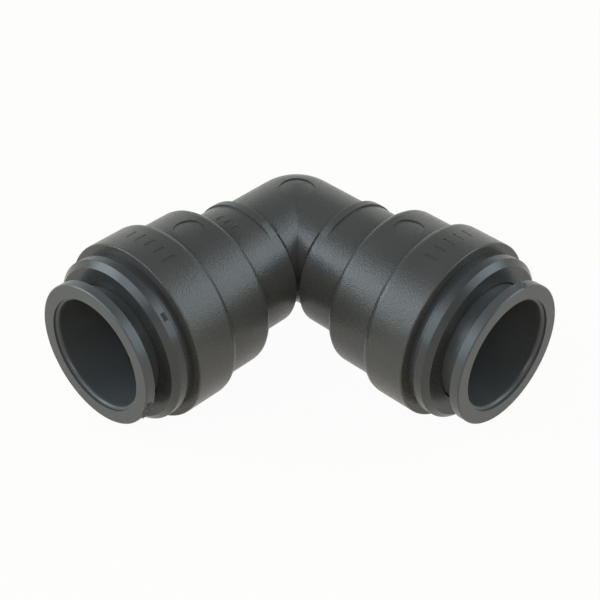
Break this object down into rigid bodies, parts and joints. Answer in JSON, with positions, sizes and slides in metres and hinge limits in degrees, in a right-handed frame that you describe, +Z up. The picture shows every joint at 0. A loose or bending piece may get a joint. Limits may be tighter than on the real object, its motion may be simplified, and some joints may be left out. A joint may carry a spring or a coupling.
{
  "type": "push to connect elbow fitting",
  "caption": "Right-angle push to connect elbow for plastic tube: moulded body, retaining caps, sliding release collets with steel grab teeth, O-rings and spacer rings.",
  "frame": {"origin": "on the surface the fitting lies on, under the centre of its box at rest", "axes": "+X out of the right port, -Y out of the left port, +Z up, square to both port axes"},
  "size_m": [0.0602, 0.0596, 0.03],
  "materials": {
    "body_plastic": "fine spark-eroded moulded texture",
    "cap_plastic": "smooth satin moulding",
    "collet_plastic": "smooth satin moulding",
    "spacer_plastic": "plain moulding",
    "seal_rubber": "moulded nitrile rubber",
    "tooth_steel": "stamped stainless steel"
  },
  "bodies": {
    "fitting_body": {"elbow_body": "body_plastic", "right_retaining_cap": "cap_plastic", "left_retaining_cap": "cap_plastic", "right_o_ring": "seal_rubber", "left_o_ring": "seal_rubber", "right_spacer_ring": "spacer_plastic", "left_spacer_ring": "spacer_plastic"},
    "right_release_collet": {"right_collet": "collet_plastic", "right_grab_tooth_1": "tooth_steel", "right_grab_tooth_2": "tooth_steel", "right_grab_tooth_3": "tooth_steel", "right_grab_tooth_4": "tooth_steel", "right_grab_tooth_5": "tooth_steel", "right_grab_tooth_6": "tooth_steel", "right_grab_tooth_7": "tooth_steel", "right_grab_tooth_8": "tooth_steel"},
    "left_release_collet": {"left_collet": "collet_plastic", "left_grab_tooth_1": "tooth_steel", "left_grab_tooth_2": "tooth_steel", "left_grab_tooth_3": "tooth_steel", "left_grab_tooth_4": "tooth_steel", "left_grab_tooth_5": "tooth_steel", "left_grab_tooth_6": "tooth_steel", "left_grab_tooth_7": "tooth_steel", "left_grab_tooth_8": "tooth_steel"}
  },
  "joints": [
    {"name": "right_collet_push", "type": "slide", "parent": "fitting_body", "child": "right_release_collet", "axis": [-1, 0, 0], "range_m": [0, 0.0028]},
    {"name": "left_collet_push", "type": "slide", "parent": "fitting_body", "child": "left_release_collet", "axis": [0, 1, 0], "range_m": [-0.0006, 0.0022]}
  ]
}
